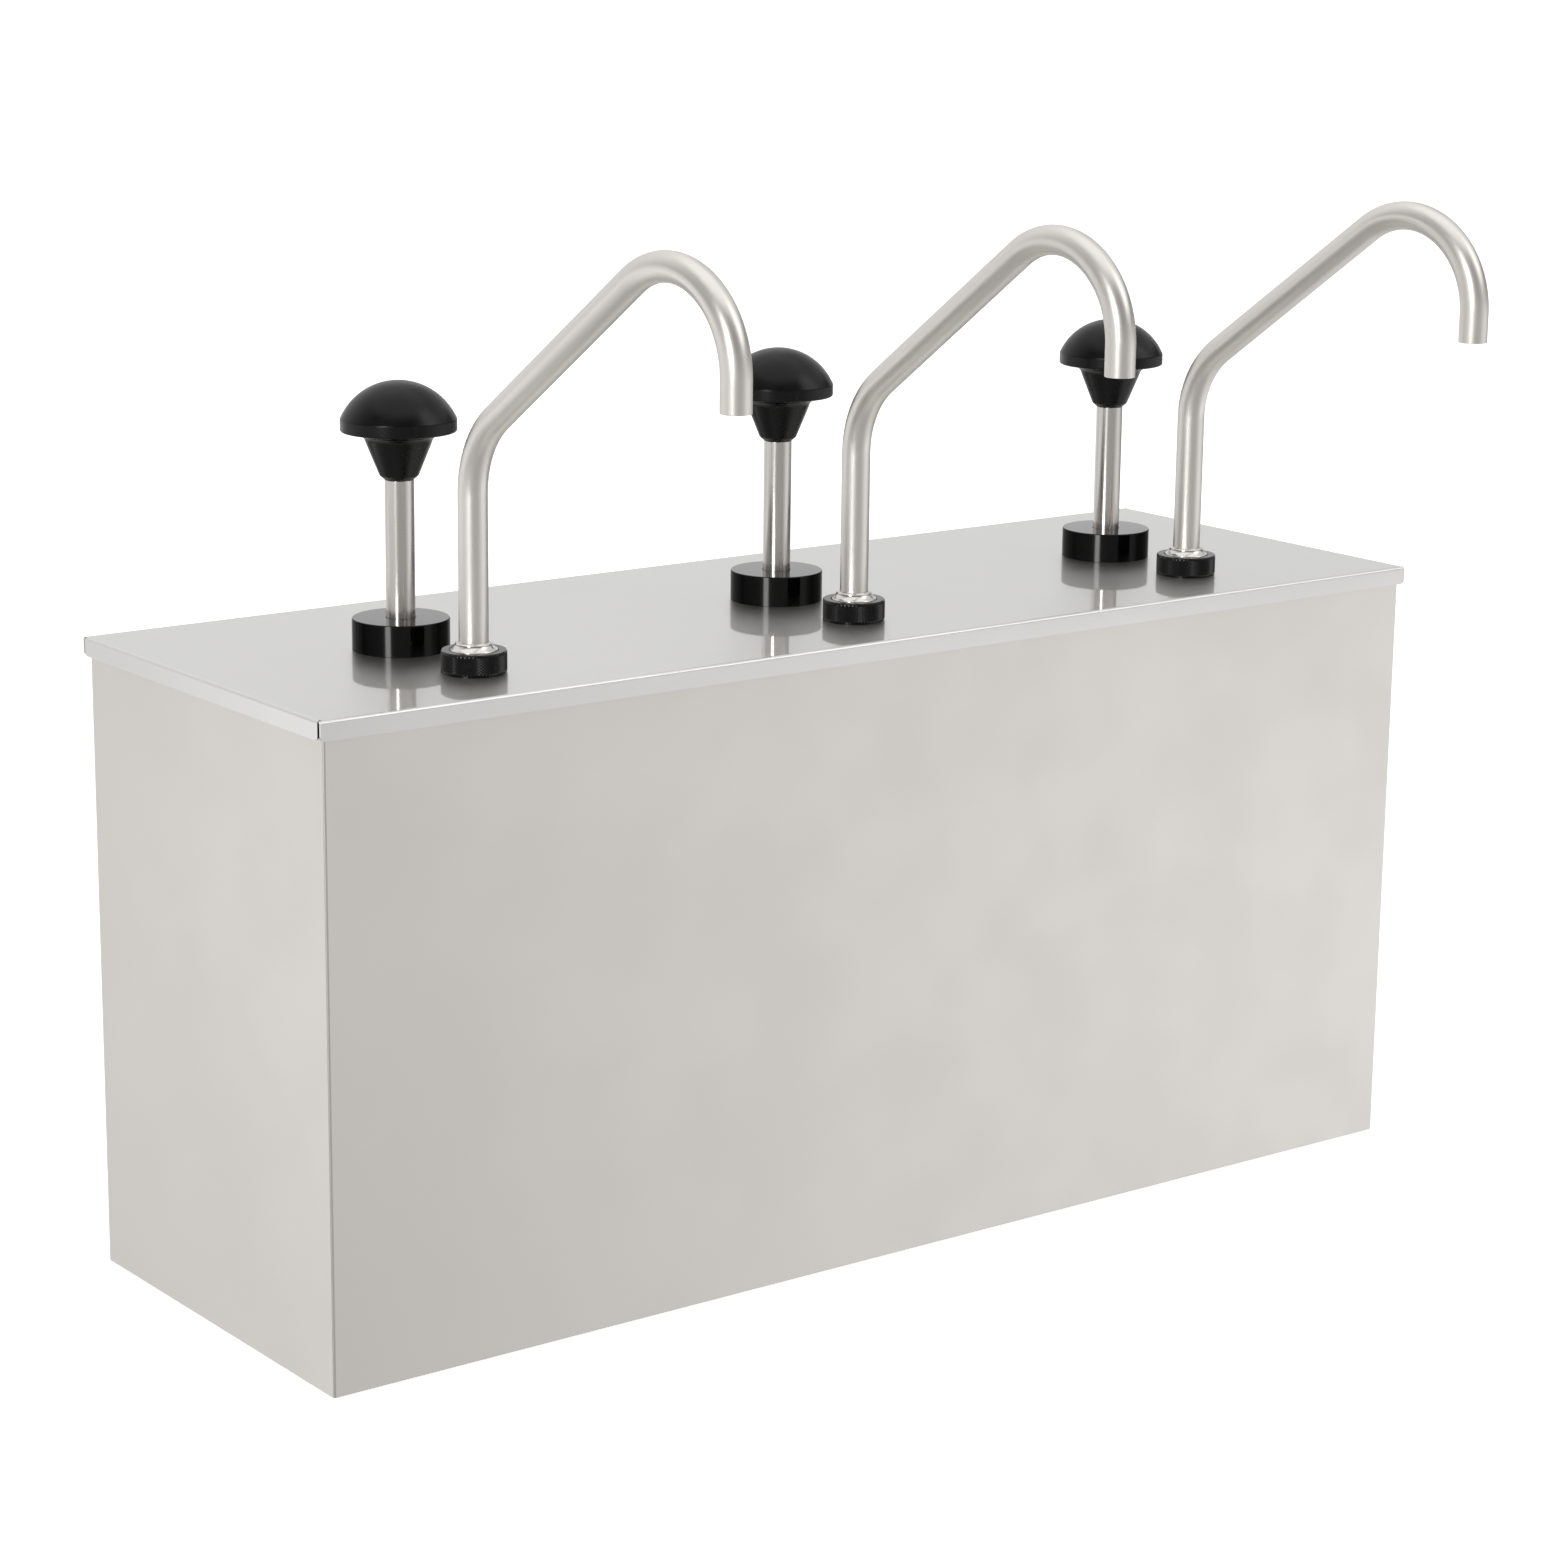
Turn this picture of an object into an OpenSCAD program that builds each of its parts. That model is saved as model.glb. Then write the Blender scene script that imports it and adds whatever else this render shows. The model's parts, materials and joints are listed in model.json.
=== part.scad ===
// Countertop sauce dispenser with three plunger pumps in one stainless steel housing.
// Millimetres. +Z is up, +X runs along the row of pumps, and the spouts point to -Y.
// The origin is at the centre of the base, on the face that stands on the counter.

/* [Housing] */
// Width of the housing along the row of pumps
housing_w = 570; // [562:1:700]
// Depth of the housing from front to rear
housing_d = 188; // [184:1:220]
// Height from the counter to the top of the lid
lid_top_h = 272; // [268:1:330]
// Thickness of the sheet steel of housing, deck and lid
sheet_t = 1.0; // [0.8:0.1:1.5]
// Outside radius of the housing's two vertical bends
bend_r = 1.6; // [1.6:0.1:4]
// Width of the two returns that hold the rear panel
return_w = 15; // [8:1:30]
// Height of the flange round the base panel and the deck
flange_h = 14; // [8:1:24]

/* [Lid] */
// Gap between the housing and the inside of the lid's skirt
lid_gap = 1.0; // [0.5:0.1:2]
// Height of the lid's skirt, measured from the top of the lid
skirt_h = 8; // [6:0.5:14]
// Outside radius of the bend between the lid's top and its skirt
lid_bend_r = 2.0; // [1.6:0.1:3]
// Radius of the skirt's lower corners
skirt_corner_r = 2.0; // [0.5:0.1:3]
// Width of the open slot at each corner of the skirt
corner_slot = 1.2; // [0.6:0.1:2.4]

/* [Containers] */
// Length of a container's rim along the row
rim_x = 176; // [168:1:180]
// Width of a container's rim from front to rear
rim_y = 162; // [156:1:170]
// Width of the rim round a container's mouth
rim_w = 10; // [8:0.5:12]
// Height of the rim's turned-down lip
lip_h = 4; // [3:0.5:6]
// Depth of a container from its rim to the outside of its floor
container_h = 200; // [196:1:230]
// Thickness of a container's wall
container_t = 0.8; // [0.6:0.1:1.2]
// Slope of a container's walls, in degrees
draft_angle = 3.3; // [2:0.1:4]
// Radius of a container's upright corners at the mouth
mouth_corner_r = 22; // [16:1:28]
// Radius between a container's walls and its floor
floor_corner_r = 12; // [8:1:16]
// Gap between a container's rim and the lid
rim_gap = 1.0; // [0.5:0.1:2]
// Gap all round between a container and its cut-out in the deck
cutout_gap = 2.0; // [1:0.5:4]

/* [Row of pumps] */
// Distance from one pump to the next
pitch = 191; // [188:1:230]
// How far the plungers stand behind the housing's middle
plunger_y = 3; // [-2:0.5:8]
// Distance from a plunger to the spout in front of it
spout_dist = 55; // [50:0.5:58]

/* [Plunger] */
// Diameter of the plunger rod
rod_d = 12; // [10:0.5:14]
// Travel of the plunger, from up to fully pressed
stroke = 52; // [30:1:56]
// Gap left between the knob and the collar with the plunger pressed
knob_gap = 4.6; // [1:0.1:12]
// Diameter of the rod's threaded ends
stud_d = 8; // [6:0.5:9]
// Length of the threaded end that the knob is screwed on
stud_l = 15; // [10:1:17]
// Height of the piston
piston_h = 14; // [12:0.5:18]
// Height of the piston's seal
seal_h = 6; // [4:0.5:8]
// Depth of the groove that holds the seal
seal_depth = 2.7; // [2:0.1:3.5]
// Outside diameter of the spacer sleeve that sets the top of the stroke
spacer_d = 18; // [16:0.5:20]

/* [Knob] */
// Diameter of the knob's rim
knob_d = 47.2; // [44:0.2:54]
// Height of the knob
knob_h = 39; // [37:0.5:44]
// Height of the knob's rim above its foot
knob_rim_z = 20.4; // [19:0.2:22]
// Height of the upright band at the rim
knob_band_h = 2.2; // [1:0.1:4]
// Diameter of the knob's foot
knob_foot_d = 15.6; // [15:0.2:18]
// Diameter of the knob's neck, where it flares out under the rim
knob_neck_d = 24.8; // [20:0.2:27]
// Height of the straight part of the neck
knob_neck_h = 13.6; // [11:0.2:15]
// Radius of the knob's domed top
dome_r = 26; // [25.5:0.5:34]

/* [Collar] */
// Diameter of the collar that clamps the pump to the lid
collar_d = 40; // [38:0.5:44]
// Height of the collar
collar_h = 13; // [11:0.5:16]
// Thickness of the collar's top wall
collar_top_t = 2; // [1.5:0.1:3]

/* [Cylinder] */
// Bore of the pump cylinder
cylinder_bore = 27; // [26:0.5:28]
// Wall of the pump cylinder
cylinder_t = 1.5; // [1.2:0.1:1.8]
// Diameter of the flange under the lid
cylinder_flange_d = 39; // [36:0.5:41]
// Thickness of the flange under the lid
cylinder_flange_t = 2.5; // [2:0.1:4]
// Thickness of the flat gaskets under the lid
gasket_t = 1.5; // [1:0.1:2]
// Thickness of the bush's flange under the collar
bush_flange_t = 3.5; // [3:0.1:4]
// Length of the bush below the lid's sheet
bush_l = 9; // [6:0.5:14]
// Diameter of the wiper ring round the rod
wiper_d = 18; // [16:0.5:20]
// Height of the wiper ring
wiper_h = 1.8; // [1.2:0.1:2]

/* [Spring] */
// Diameter of the spring's wire
wire_d = 1.8; // [1.2:0.1:2]
// Mean diameter of the spring
spring_d = 22; // [20:0.5:22.5]
// Length of the spring with the plunger pressed
spring_pressed_l = 26; // [24:1:30]
// Number of turns of the spring
spring_turns = 9; // [6:1:10]

/* [Valve body] */
// Diameter of the valve body below the cylinder
foot_d = 38; // [36:0.5:42]
// Gap between the container's floor and the valve body
foot_gap = 7.5; // [5:0.5:10]
// Diameter of the inlet ball
inlet_ball_d = 16; // [15:0.5:17]
// Diameter of the outlet ball
outlet_ball_d = 14; // [13:0.5:15]
// Lift of the check balls
ball_lift = 3.0; // [1:0.1:4]
// Diameter of the inlet
inlet_d = 10; // [8:0.5:10.5]
// Diameter of the bore under the outlet ball
outlet_seat_d = 9.8; // [9:0.2:10]
// Diameter of the cross passage
passage_d = 8; // [6:0.5:8.5]
// Distance from the cylinder to the riser at the foot of the pump
riser_dist = 38; // [36:0.5:40]
// Depth of the sockets for the cylinder and for the riser
socket_l = 8; // [6:0.5:10]
// Thickness of the perforated cage over the inlet ball
cage_t = 2; // [1.5:0.1:3]

/* [Riser and nut] */
// Outside diameter of the riser and of the spout
tube_d = 12; // [11:0.5:13]
// Wall of the riser and of the spout
tube_t = 1.0; // [0.8:0.1:1.5]
// Radius of the riser's two bends
riser_bend_r = 24; // [20:1:30]
// Diameter of the thread that carries the knurled nut
thread_d = 22.8; // [22:0.1:23.4]
// Diameter of the riser's shoulder under the lid
shoulder_d = 29; // [27:0.5:31]
// Thickness of the riser's shoulder
shoulder_t = 3; // [2:0.1:4]
// Diameter of the knurled nut
nut_d = 26.6; // [26:0.1:29]
// Height of the knurled nut
nut_h = 9; // [8.5:0.1:11]
// Thickness of the nut's inner lip
nut_lip_t = 2.4; // [1.8:0.1:2.8]
// Diameter of the opening in the top of the nut
nut_mouth_d = 19.8; // [19:0.1:20.4]

/* [Spout] */
// Height of the spout's straight foot above the lid
spout_rise = 71; // [60:1:90]
// Inside curve of the first bend, to the middle of the tube
first_bend_r = 40; // [30:0.5:50]
// Angle of the first bend
first_bend_angle = 54; // [45:1:65]
// Length of the slope between the two bends
slope_l = 103; // [80:1:120]
// Inside curve of the second bend, to the middle of the tube
second_bend_r = 37.5; // [30:0.5:45]
// Length of the straight outlet
outlet_l = 12; // [8:1:20]
// Turn of the first spout towards +X from straight ahead
aim_1 = 4; // [-5:0.5:5]
// Turn of the second spout
aim_2 = 1.5; // [-5:0.5:5]
// Turn of the third spout
aim_3 = 3.5; // [-5:0.5:5]
// Diameter of the ferrule that shows in the nut
ferrule_d = 19.2; // [18:0.1:19.6]
// Height of the ferrule above the nut
ferrule_h = 3.3; // [2.5:0.1:5]

/* [Fits] */
// Radial clearance of parts that slide or turn in each other
running_fit = 0.05; // [0.02:0.01:0.1]
// Radial clearance of fixed parts, such as threads and pressed bushes
fixed_fit = 0.1; // [0.05:0.01:0.2]
// Clearance of moving parts that don't touch
free_gap = 0.3; // [0.2:0.05:0.5]
// Size of the small edge chamfers
chamfer = 0.4; // [0.2:0.1:0.6]

/* [Hidden] */

$fn = 96;
eps = 0.01;
pumps = [1, 2, 3];
function pump_x(i) = (i - 2) * pitch;
function aim(i) = [aim_1, aim_2, aim_3][i - 1];

// Housing and lid
in_x = housing_w / 2 - sheet_t;
in_front = -housing_d / 2 + sheet_t;
in_rear = housing_d / 2 - 2 * sheet_t;
fold_r = bend_r - sheet_t;
housing_rim_z = lid_top_h - sheet_t;
lid_x = housing_w / 2 + lid_gap + sheet_t;
lid_y = housing_d / 2 + lid_gap + sheet_t;

// Containers and the deck they hang in
rim_z = housing_rim_z - rim_gap;
deck_z = rim_z - lip_h;
mouth_x = rim_x - 2 * rim_w;
mouth_y = rim_y - 2 * rim_w;
floor_z = rim_z - container_h;

// Lid holes
spout_y = plunger_y - spout_dist;
cylinder_r = cylinder_bore / 2 + cylinder_t;
thread_r = thread_d / 2;

// A ball rests free_gap clear of a 45 degree seat that opens from the bore below it.
function seat_lift(bore_d, ball_d) = (ball_d / 2 + free_gap) * sqrt(2) - bore_d / 2;
// Height left over a check ball that is fully lifted
ball_room = 1;
// Floor of the foot under the inlet ball, and how far above the foot's face its arm starts
foot_floor = 8;
arm_lift = 10;
arm_w = 22;
// Room round each ball, and the wall round the outlet ball's chamber
inlet_room = 2;
outlet_room = 1.5;
tower_wall = 4.5;
// Metal over and under the passage from one ball to the other
passage_cover = 5;
passage_floor = 2;
// Small holes of the cage, and their place inside the bore
cage_hole_r = 1.5;
cage_hole_inset = 5.5;
// Straight end of the riser under its shoulder, and the collar of its screwed foot
riser_end = 12;
riser_foot_collar = 3;
// Thread above the lid, and the seal on it
thread_rise = 4;
spout_seal_t = 1;

// Heights of the pump, from the bottom up
foot_z = floor_z + container_t + foot_gap;
inlet_seat_z = foot_z + foot_floor;
inlet_ball_z = inlet_seat_z + seat_lift(inlet_d, inlet_ball_d);
cage_z = inlet_ball_z + inlet_ball_d / 2 + ball_lift + ball_room;
foot_top = cage_z + socket_l;
cylinder_z = cage_z + cage_t;
spring_l = spring_pressed_l + stroke;
spring_top = cylinder_z + spring_l;
piston_top = spring_top + piston_h;
neck_top = lid_top_h + collar_h - collar_top_t - bush_flange_t;
collar_top = lid_top_h + collar_h;
bush_z = housing_rim_z - bush_l;
knob_z = collar_top + stroke + knob_gap;
rod_r = rod_d / 2;
stud_r = stud_d / 2;

// Check valves at the foot of the pump
inlet_chamber_r = inlet_ball_d / 2 + inlet_room;
outlet_chamber_r = outlet_ball_d / 2 + outlet_room;
passage_z = cage_z - passage_d / 2 - passage_cover;
outlet_seat_z = passage_z + passage_d / 2 + passage_floor;
outlet_ball_z = outlet_seat_z + seat_lift(outlet_seat_d, outlet_ball_d);
riser_z = outlet_ball_z + outlet_ball_d / 2 + ball_lift + ball_room;
tower_r = outlet_chamber_r + tower_wall;
riser_foot_r = outlet_chamber_r + outlet_room;

// Riser
tube_r = tube_d / 2;
bore_r = tube_r - tube_t;
bend_step = 0.02;
riser_side = spout_dist - riser_dist;
riser_bend_angle = acos(1 - riser_side / (2 * riser_bend_r));
riser_bend_h = 2 * riser_bend_r * sin(riser_bend_angle);
shoulder_z = housing_rim_z - gasket_t - shoulder_t;
riser_bend_top = shoulder_z - riser_end;
thread_top = lid_top_h + thread_rise;
seal_top = thread_top + spout_seal_t;

// Nut and ferrule
nut_top = lid_top_h + nut_h;
lip_z = nut_top - nut_lip_t;
nut_bore_r = thread_r + fixed_fit;
ferrule_flange_r = nut_bore_r - free_gap;
ferrule_top = nut_top + ferrule_h;

function arc(cx, cy, r, a0, a1, n) =
    [for (i = [0 : n]) [cx + r * cos(a0 + (a1 - a0) * i / n), cy + r * sin(a0 + (a1 - a0) * i / n)]];

module at_pump(i) translate([pump_x(i), plunger_y, 0]) children();
module at_spout(i) translate([pump_x(i), spout_y, 0]) children();

module rod_between(r, z0, z1) translate([0, 0, z0]) cylinder(r = r, h = z1 - z0);
module ring_between(r_out, r_in, z0, z1) difference() {
    rod_between(r_out, z0, z1);
    rod_between(r_in, z0 - 1, z1 + 1);
}
module rounded_rect(x, y, r) {
    square([x - 2 * r, y], center = true);
    square([x, y - 2 * r], center = true);
    for (sx = [-1, 1], sy = [-1, 1]) translate([sx * (x / 2 - r), sy * (y / 2 - r)]) circle(r);
}

// Front and two sides, folded from one sheet, with a narrow return at each rear corner
module housing_wrap() color("#c9c6c0") linear_extrude(housing_rim_z) difference() {
    rounded_rect(housing_w, housing_d, bend_r);
    rounded_rect(housing_w - 2 * sheet_t, housing_d - 2 * sheet_t, fold_r);
    translate([-housing_w / 2 + return_w, 0]) square([housing_w - 2 * return_w, housing_d]);
}

// Flat rear sheet, lapped behind the returns and as wide as the inside of the folds leaves
module rear_panel() color("#bdbab4") translate([-in_x + fold_r, in_rear, 0])
    cube([2 * (in_x - fold_r), sheet_t, housing_rim_z]);

// A tray that fits inside the walls: its sheet, and the four upstands round it
module inner_sheet(z0, height = sheet_t) translate([0, (in_front + in_rear) / 2, z0])
    linear_extrude(height) rounded_rect(2 * in_x, in_rear - in_front, fold_r);
module upstands(z0, z1) difference() {
    inner_sheet(z0, z1 - z0);
    translate([-in_x + sheet_t, in_front + sheet_t, z0 - 1])
        cube([2 * (in_x - sheet_t), in_rear - in_front - 2 * sheet_t, z1 - z0 + 2]);
}

module base_panel() color("#b5b2ac") {
    inner_sheet(0);
    upstands(sheet_t, sheet_t + flange_h);
}

// Deck with one cut-out for each container, its flange turned down against the walls
module well_deck() color("#b9b6b0") difference() {
    union() {
        inner_sheet(deck_z - sheet_t);
        upstands(deck_z - sheet_t - flange_h, deck_z - sheet_t);
    }
    for (i = pumps) translate([pump_x(i), 0, deck_z - sheet_t - 1]) linear_extrude(sheet_t + 2)
        rounded_rect(mouth_x + 2 * cutout_gap, mouth_y + 2 * cutout_gap, mouth_corner_r);
}

// A tapered, round-cornered pan body; inset moves its faces inwards
module pan_body(inset, z_top) {
    drop = rim_z - floor_z;
    lean = drop * tan(draft_angle);
    ball_r = floor_corner_r - inset;
    hull() {
        translate([0, 0, z_top - eps]) linear_extrude(eps)
            rounded_rect(mouth_x - 2 * inset, mouth_y - 2 * inset, mouth_corner_r - inset, $fn = 32);
        for (sx = [-1, 1], sy = [-1, 1])
            translate([sx * (mouth_x / 2 - lean - floor_corner_r),
                sy * (mouth_y / 2 - lean - floor_corner_r), floor_z + floor_corner_r])
                sphere(ball_r, $fn = 24);
    }
}
module container(i) color("#c4c3c0") translate([pump_x(i), 0, 0]) difference() {
    union() {
        pan_body(0, rim_z);
        translate([0, 0, deck_z]) linear_extrude(lip_h) difference() {
            rounded_rect(rim_x, rim_y, mouth_corner_r + rim_w);
            rounded_rect(rim_x - 2 * container_t, rim_y - 2 * container_t,
                mouth_corner_r + rim_w - container_t);
        }
        translate([0, 0, rim_z - container_t]) linear_extrude(container_t)
            rounded_rect(rim_x, rim_y, mouth_corner_r + rim_w);
    }
    pan_body(container_t, rim_z + 1);
}

// One folded edge of the lid, as long as its bend, hanging from the sheet's edge at the origin
module lid_edge(length) {
    rotate([90, 0, 90]) translate([0, 0, -length / 2]) linear_extrude(length) difference() {
        intersection() {
            translate([-lid_bend_r, -lid_bend_r]) square(lid_bend_r);
            translate([0, -lid_bend_r]) circle(lid_bend_r);
        }
        translate([0, -lid_bend_r]) circle(lid_bend_r - sheet_t);
    }
    drop = skirt_h - lid_bend_r;
    translate([0, -lid_bend_r + sheet_t, -lid_bend_r]) rotate([90, 0, 0]) linear_extrude(sheet_t) {
        translate([-length / 2, -drop + skirt_corner_r]) square([length, drop - skirt_corner_r]);
        translate([-length / 2 + skirt_corner_r, -drop]) square([length - 2 * skirt_corner_r, drop]);
        for (s = [-1, 1]) translate([s * (length / 2 - skirt_corner_r), -drop + skirt_corner_r])
            circle(skirt_corner_r);
    }
}
module lid() color("#cfcdc8") difference() {
    union() {
        translate([-lid_x + lid_bend_r, -lid_y + lid_bend_r, lid_top_h - sheet_t])
            cube([2 * (lid_x - lid_bend_r), 2 * (lid_y - lid_bend_r), sheet_t]);
        for (turn = [0, 180]) rotate([0, 0, turn]) translate([0, -lid_y + lid_bend_r, lid_top_h])
            lid_edge(2 * lid_x);
        for (turn = [90, 270]) rotate([0, 0, turn]) translate([0, -lid_x + lid_bend_r, lid_top_h])
            lid_edge(2 * (lid_y - lid_bend_r - corner_slot));
    }
    for (i = pumps) {
        at_pump(i) rod_between(cylinder_r + free_gap, lid_top_h - 5, lid_top_h + 1);
        at_spout(i) rod_between(thread_r + free_gap, lid_top_h - 5, lid_top_h + 1);
    }
}

// Black collar, screwed on the neck of the cylinder
module collar() color("#0b0b0c") difference() {
    union() {
        rod_between(collar_d / 2, lid_top_h, collar_top - chamfer);
        translate([0, 0, collar_top - chamfer])
            cylinder(r1 = collar_d / 2, r2 = collar_d / 2 - chamfer, h = chamfer);
    }
    rod_between(cylinder_r + fixed_fit, lid_top_h - 1, collar_top - collar_top_t);
    rod_between(rod_r + free_gap, lid_top_h, collar_top + 1);
}

module cylinder_tube() color("#c2c0bc") {
    ring_between(cylinder_r, cylinder_bore / 2, cylinder_z, neck_top);
    flange_top = housing_rim_z - gasket_t;
    ring_between(cylinder_flange_d / 2, cylinder_r - cylinder_t / 2,
        flange_top - cylinder_flange_t, flange_top);
}
module cylinder_gasket() color("#2a2a2a")
    ring_between(cylinder_flange_d / 2, cylinder_r + fixed_fit, housing_rim_z - gasket_t, housing_rim_z);

// Plastic bush that guides the rod, held between the cylinder's neck and the collar
module guide_bush() color("#e6e4dc") difference() {
    union() {
        rod_between(cylinder_bore / 2 - fixed_fit, bush_z, neck_top + eps);
        rod_between(cylinder_r, neck_top, neck_top + bush_flange_t);
    }
    rod_between(rod_r + running_fit, bush_z - 1, collar_top);
    rod_between(wiper_d / 2 + fixed_fit, neck_top + bush_flange_t - wiper_h, collar_top);
}
module rod_wiper() color("#1c1c1c")
    ring_between(wiper_d / 2, rod_r + running_fit, neck_top + bush_flange_t - wiper_h,
        neck_top + bush_flange_t);

// Perforated disc over the inlet ball, which also carries the spring
module valve_cage() color("#b8b6b2") difference() {
    rod_between(cylinder_r, cage_z, cylinder_z);
    rod_between(inlet_ball_d / 4, cage_z - 1, cylinder_z + 1);
    for (a = [0 : 60 : 300]) rotate([0, 0, a])
        translate([cylinder_bore / 2 - cage_hole_inset, 0, 0])
        rod_between(cage_hole_r, cage_z - 1, cylinder_z + 1);
}

// A bore that opens through a 45 degree seat into the chamber of a check ball
module ball_chamber(bore_r, chamber_r, z0, seat_z, z1) rotate_extrude() polygon([[0, z0],
    [bore_r, z0], [bore_r, seat_z], [chamber_r, seat_z + chamber_r - bore_r], [chamber_r, z1],
    [0, z1]]);
module valve_body() color("#ddd9cf") difference() {
    union() {
        rod_between(foot_d / 2, foot_z, foot_top);
        translate([-arm_w / 2, -riser_dist, foot_z + arm_lift])
            cube([arm_w, riser_dist, cage_z - foot_z - arm_lift]);
        translate([0, -riser_dist, 0])
            rod_between(tower_r, foot_z + arm_lift, riser_z + socket_l);
    }
    ball_chamber(inlet_d / 2, inlet_chamber_r, foot_z - 1, inlet_seat_z, cage_z + eps);
    rod_between(cylinder_r + fixed_fit, cage_z, foot_top + 1);
    translate([0, -riser_dist, 0]) {
        ball_chamber(outlet_seat_d / 2, outlet_chamber_r, passage_z - passage_d / 2 - 1,
            outlet_seat_z, riser_z + eps);
        rod_between(riser_foot_r + fixed_fit, riser_z, riser_z + socket_l + 1);
    }
    translate([0, -riser_dist, passage_z]) rotate([-90, 0, 0])
        cylinder(d = passage_d, h = riser_dist - inlet_chamber_r + 4);
}
module inlet_ball() color("#d5d5d5") translate([0, 0, inlet_ball_z]) sphere(d = inlet_ball_d);
module outlet_ball() color("#d5d5d5")
    translate([0, -riser_dist, outlet_ball_z]) sphere(d = outlet_ball_d);

// A tube along +Z that bends towards -Y. The bends are a hair thinner than the straight
// stretches, which reach a little way into them, so that no two curved faces coincide.
module tube_bend(r, bend_radius, angle) translate([0, -bend_radius, 0]) rotate([90, 0, 90])
    rotate_extrude(angle = angle) translate([bend_radius, 0]) circle(r - bend_step);
module after_bend(bend_radius, angle) translate([0, -bend_radius, 0]) rotate([angle, 0, 0])
    translate([0, bend_radius, 0]) children();
module stretch(r, length) rod_between(r, -bend_step, length);

module riser_path(r, z0) {
    bend_z = riser_bend_top - riser_bend_h;
    translate([0, -riser_dist, 0]) {
        rod_between(r, z0, bend_z + bend_step);
        translate([0, 0, bend_z]) {
            tube_bend(r, riser_bend_r, riser_bend_angle);
            after_bend(riser_bend_r, riser_bend_angle) rotate([0, 0, 180]) {
                stretch(r, bend_step);
                tube_bend(r, riser_bend_r, riser_bend_angle);
            }
        }
    }
}
// Discharge tube inside the container, with its screwed foot and the thread for the nut
module riser() color("#c8c6c2") difference() {
    union() {
        riser_path(tube_r, riser_z + socket_l);
        translate([0, -riser_dist, 0])
            rod_between(riser_foot_r, riser_z, riser_z + socket_l + riser_foot_collar);
        translate([0, -spout_dist, 0]) {
            rod_between(tube_r, riser_bend_top - bend_step, shoulder_z + 1);
            rod_between(shoulder_d / 2, shoulder_z, shoulder_z + shoulder_t);
            rod_between(thread_r, shoulder_z, thread_top);
        }
    }
    riser_path(bore_r, riser_z - 1);
    translate([0, -spout_dist, 0]) rod_between(bore_r, riser_bend_top - bend_step, thread_top + 1);
}
module riser_gasket() color("#2a2a2a")
    ring_between(shoulder_d / 2, thread_r + free_gap, housing_rim_z - gasket_t, housing_rim_z);
module spout_seal() color("#2a2a2a") ring_between(ferrule_flange_r, bore_r, thread_top, seal_top);

// Black nut that holds the spout down by its ferrule; its side carries a diamond knurl
module knurled_nut() color("#101011") difference() {
    union() {
        translate([0, 0, lid_top_h])
            cylinder(r1 = nut_d / 2 - chamfer, r2 = nut_d / 2, h = chamfer);
        rod_between(nut_d / 2, lid_top_h + chamfer, nut_top - chamfer);
        translate([0, 0, nut_top - chamfer])
            cylinder(r1 = nut_d / 2, r2 = nut_d / 2 - chamfer, h = chamfer);
    }
    rod_between(nut_bore_r, lid_top_h - 1, lip_z);
    rod_between(nut_mouth_d / 2, lid_top_h, nut_top + 1);
}

// Compression spring with one closed turn at each end
function spring_rise(u, n, gap, body) = u < 1 ? gap * u : u > n - 1 ? body - gap * (n - u)
    : gap + (body - 2 * gap) * (u - 1) / (n - 2);
module return_spring() color("#a9a9a9") {
    steps = 16;
    sides = 6;
    rings = steps * spring_turns;
    body = spring_l - 2 * free_gap - wire_d;
    end_pitch = wire_d + 0.6;
    base_z = cylinder_z + free_gap + wire_d / 2;
    ring_points = [for (k = [0 : rings], s = [0 : sides - 1])
        let (turn = 360 * k / steps, a = 360 * s / sides, w = spring_d / 2 + wire_d / 2 * cos(a))
        [w * cos(turn), w * sin(turn),
            base_z + spring_rise(k / steps, spring_turns, end_pitch, body) + wire_d / 2 * sin(a)]];
    walls = [for (k = [0 : rings - 1], s = [0 : sides - 1])
        let (a = k * sides + s, b = k * sides + (s + 1) % sides)
        each [[a, b, a + sides], [b, b + sides, a + sides]]];
    start_cap = [for (s = [1 : sides - 2]) [0, s + 1, s]];
    last = rings * sides;
    end_cap = [for (s = [1 : sides - 2]) [last, last + s, last + s + 1]];
    polyhedron(points = ring_points, faces = concat(walls, start_cap, end_cap));
}

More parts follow.
